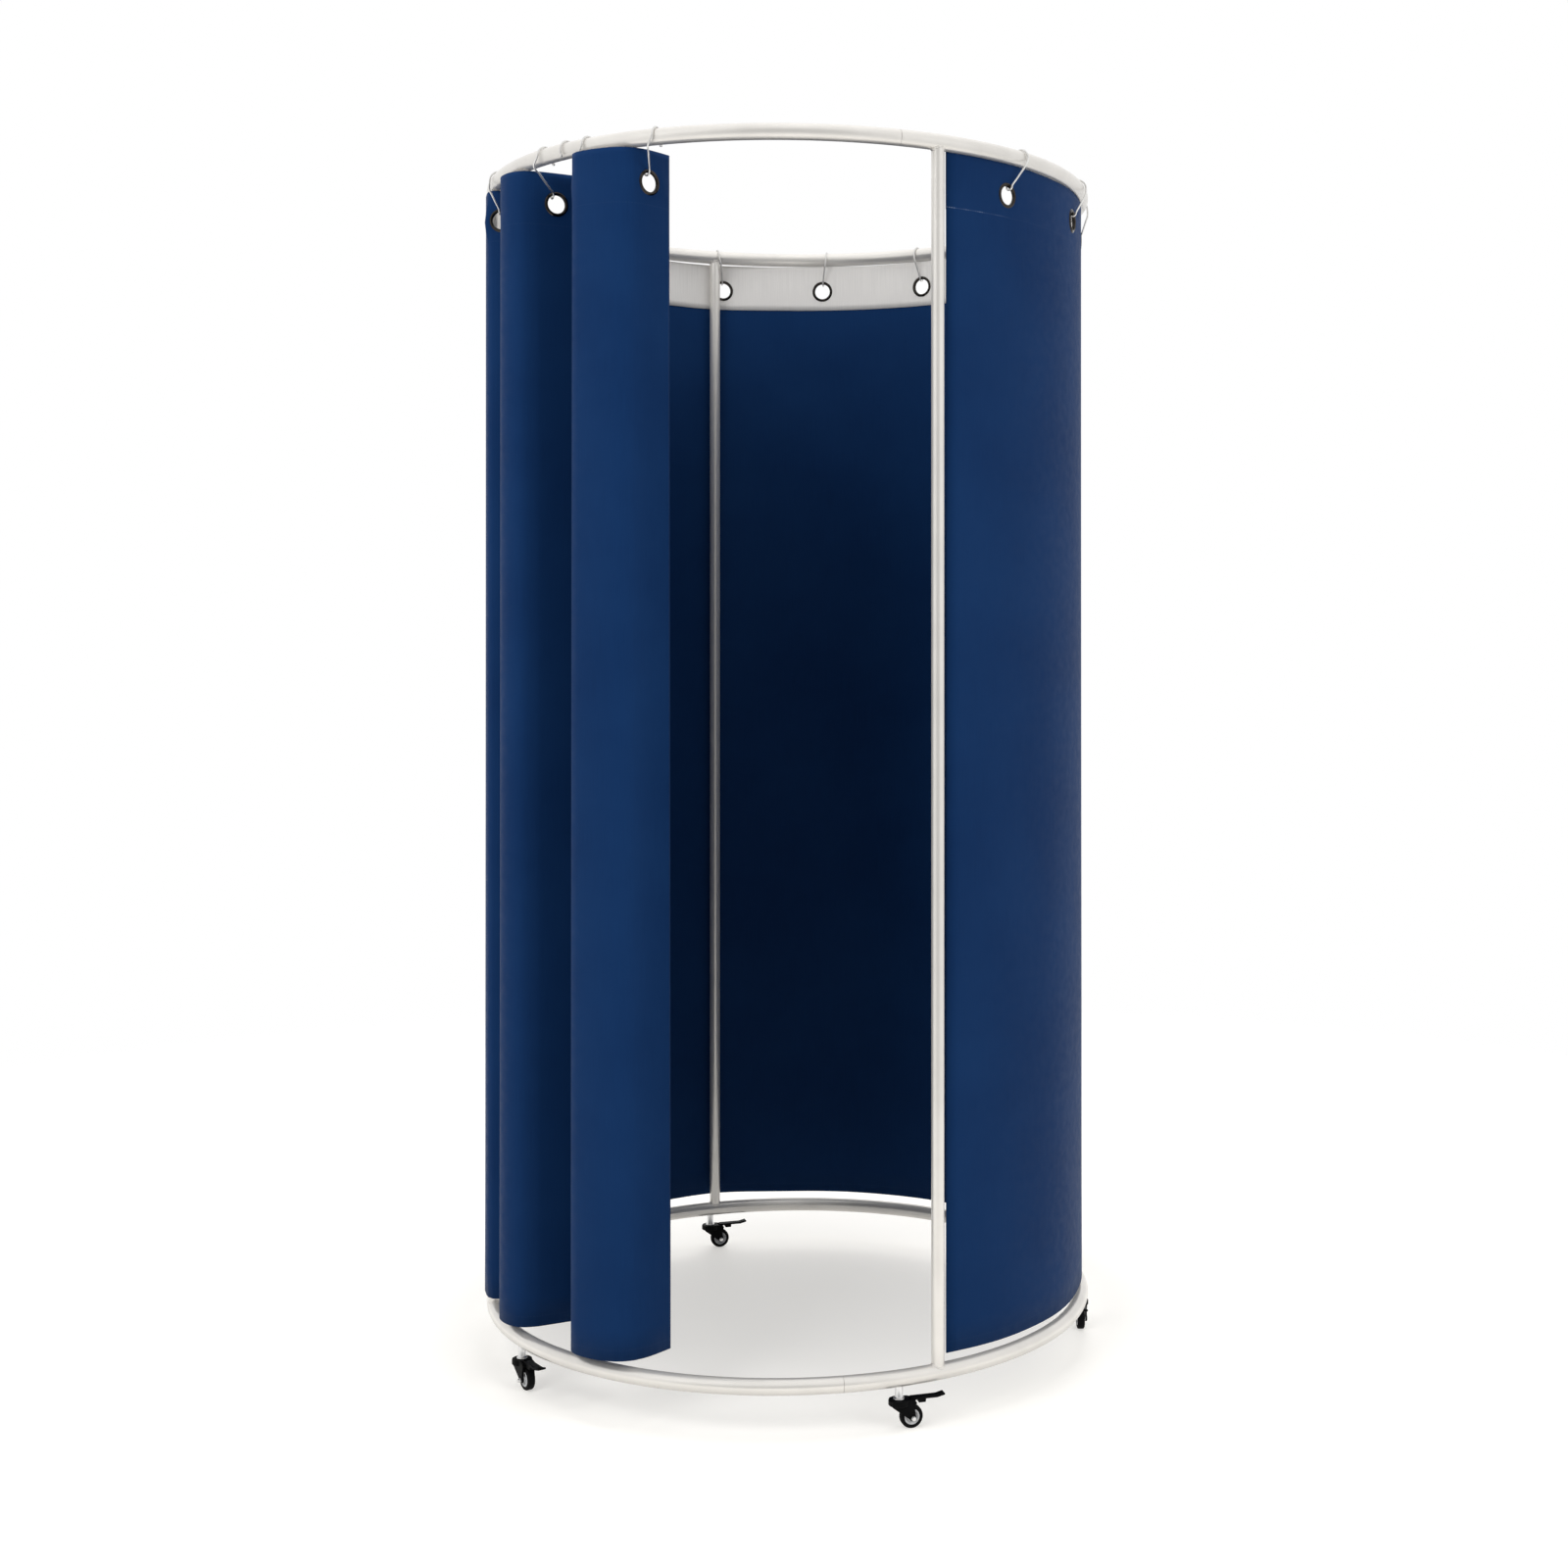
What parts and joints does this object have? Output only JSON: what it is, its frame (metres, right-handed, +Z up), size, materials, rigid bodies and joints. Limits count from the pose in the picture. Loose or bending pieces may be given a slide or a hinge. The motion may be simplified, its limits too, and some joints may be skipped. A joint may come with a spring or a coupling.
{
  "type": "portable fitting room",
  "caption": "Round portable fitting room: ring frame on posts and braked swivel casters, with a curtain hung on wire hooks from the top ring.",
  "frame": {"origin": "on the floor, under the middle of the rings", "axes": "+Z up, -Y out through the doorway, +X to the right as seen from there"},
  "size_m": [1.0341, 1.0276, 1.9503],
  "materials": {
    "polished_steel": "polished",
    "blue_cloth": "matt",
    "pale_lining": "matt",
    "hook_wire": "polished",
    "grommet_metal": "dark, satin",
    "black_nylon": "moulded",
    "black_tyre": "matt",
    "grey_hub": "moulded",
    "bright_steel": "bright"
  },
  "bodies": {
    "frame": {"top_ring_right": "polished_steel", "bottom_ring_right": "polished_steel", "top_ring_left": "polished_steel", "bottom_ring_left": "polished_steel", "top_ring_spigot_1": "bright_steel", "top_ring_spigot_2": "bright_steel", "bottom_ring_spigot_1": "bright_steel", "bottom_ring_spigot_2": "bright_steel", "post_1": "polished_steel", "post_2": "polished_steel", "post_3": "polished_steel", "post_4": "polished_steel", "curtain_wrap": "blue_cloth", "header_band_wrap": "pale_lining", "hook_04": "hook_wire", "hook_05": "hook_wire", "hook_06": "hook_wire", "hook_07": "hook_wire", "hook_08": "hook_wire", "hook_09": "hook_wire", "hook_10": "hook_wire", "hook_11": "hook_wire", "hook_12": "hook_wire", "hook_13": "hook_wire", "hook_14": "hook_wire", "hook_15": "hook_wire", "hook_16": "hook_wire", "caster_1_stem": "bright_steel", "caster_2_stem": "bright_steel", "caster_3_stem": "bright_steel", "caster_4_stem": "bright_steel"},
    "fold_3": {"curtain_fold_3": "blue_cloth", "header_band_fold_3": "pale_lining", "hook_03": "hook_wire"},
    "fold_2": {"curtain_fold_2": "blue_cloth", "header_band_fold_2": "pale_lining", "hook_02": "hook_wire"},
    "fold_1": {"curtain_fold_1": "blue_cloth", "header_band_fold_1": "pale_lining", "hook_01": "hook_wire"},
    "swivel_1": {"caster_1_fork": "black_nylon", "caster_1_axle": "bright_steel"},
    "wheel_1": {"caster_1_tyre": "black_tyre", "caster_1_hub": "grey_hub"},
    "brake_1": {"caster_1_pedal": "black_nylon"},
    "swivel_2": {"caster_2_fork": "black_nylon", "caster_2_axle": "bright_steel"},
    "wheel_2": {"caster_2_tyre": "black_tyre", "caster_2_hub": "grey_hub"},
    "brake_2": {"caster_2_pedal": "black_nylon"},
    "swivel_3": {"caster_3_fork": "black_nylon", "caster_3_axle": "bright_steel"},
    "wheel_3": {"caster_3_tyre": "black_tyre", "caster_3_hub": "grey_hub"},
    "brake_3": {"caster_3_pedal": "black_nylon"},
    "swivel_4": {"caster_4_fork": "black_nylon", "caster_4_axle": "bright_steel"},
    "wheel_4": {"caster_4_tyre": "black_tyre", "caster_4_hub": "grey_hub"},
    "brake_4": {"caster_4_pedal": "black_nylon"}
  },
  "joints": [
    {"name": "curtain_slide_3", "type": "hinge", "parent": "frame", "child": "fold_3", "pos_m": [0, 0, 0], "axis": [0, 0, 1], "range_deg": [0, 16]},
    {"name": "curtain_slide_2", "type": "hinge", "parent": "fold_3", "child": "fold_2", "pos_m": [0, 0, 0], "axis": [0, 0, 1], "range_deg": [0, 16]},
    {"name": "curtain_slide_1", "type": "hinge", "parent": "fold_2", "child": "fold_1", "pos_m": [0, 0, 0], "axis": [0, 0, 1], "range_deg": [0, 16]},
    {"name": "caster_1_swivel", "type": "hinge", "parent": "frame", "child": "swivel_1", "pos_m": [0.1873, -0.46359, 0.05], "axis": [0, 0, 1], "continuous": true},
    {"name": "caster_1_roll", "type": "hinge", "parent": "swivel_1", "child": "wheel_1", "pos_m": [0.20547, -0.45804, 0.0175], "axis": [-0.2924, 0.9563, 0], "continuous": true},
    {"name": "caster_1_brake", "type": "hinge", "parent": "swivel_1", "child": "brake_1", "pos_m": [0.20765, -0.45737, 0.03918], "axis": [-0.2924, 0.9563, 0], "range_deg": [0, 18]},
    {"name": "caster_2_swivel", "type": "hinge", "parent": "frame", "child": "swivel_2", "pos_m": [0.49992, 0.00873, 0.05], "axis": [0, 0, 1], "continuous": true},
    {"name": "caster_2_roll", "type": "hinge", "parent": "swivel_2", "child": "wheel_2", "pos_m": [0.50059, -0.01026, 0.0175], "axis": [0.9994, 0.0349, 0], "continuous": true},
    {"name": "caster_2_brake", "type": "hinge", "parent": "swivel_2", "child": "brake_2", "pos_m": [0.50067, -0.01254, 0.03918], "axis": [0.9994, 0.0349, 0], "range_deg": [0, 18]},
    {"name": "caster_3_swivel", "type": "hinge", "parent": "frame", "child": "swivel_3", "pos_m": [-0.17918, 0.46679, 0.05], "axis": [0, 0, 1], "continuous": true},
    {"name": "caster_3_roll", "type": "hinge", "parent": "swivel_3", "child": "wheel_3", "pos_m": [-0.16111, 0.47266, 0.0175], "axis": [-0.309, 0.9511, 0], "continuous": true},
    {"name": "caster_3_brake", "type": "hinge", "parent": "swivel_3", "child": "brake_3", "pos_m": [-0.15895, 0.47337, 0.03918], "axis": [-0.309, 0.9511, 0], "range_deg": [0, 18]},
    {"name": "caster_4_swivel", "type": "hinge", "parent": "frame", "child": "swivel_4", "pos_m": [-0.40958, -0.28679, 0.05], "axis": [0, 0, 1], "continuous": true},
    {"name": "caster_4_roll", "type": "hinge", "parent": "swivel_4", "child": "wheel_4", "pos_m": [-0.39841, -0.30216, 0.0175], "axis": [0.809, 0.5878, 0], "continuous": true},
    {"name": "caster_4_brake", "type": "hinge", "parent": "swivel_4", "child": "brake_4", "pos_m": [-0.39707, -0.304, 0.03918], "axis": [0.809, 0.5878, 0], "range_deg": [0, 18]}
  ],
  "couplings": [
    {"joint": "curtain_slide_2", "follows": "curtain_slide_3", "ratio": 1},
    {"joint": "curtain_slide_1", "follows": "curtain_slide_3", "ratio": 1}
  ]
}
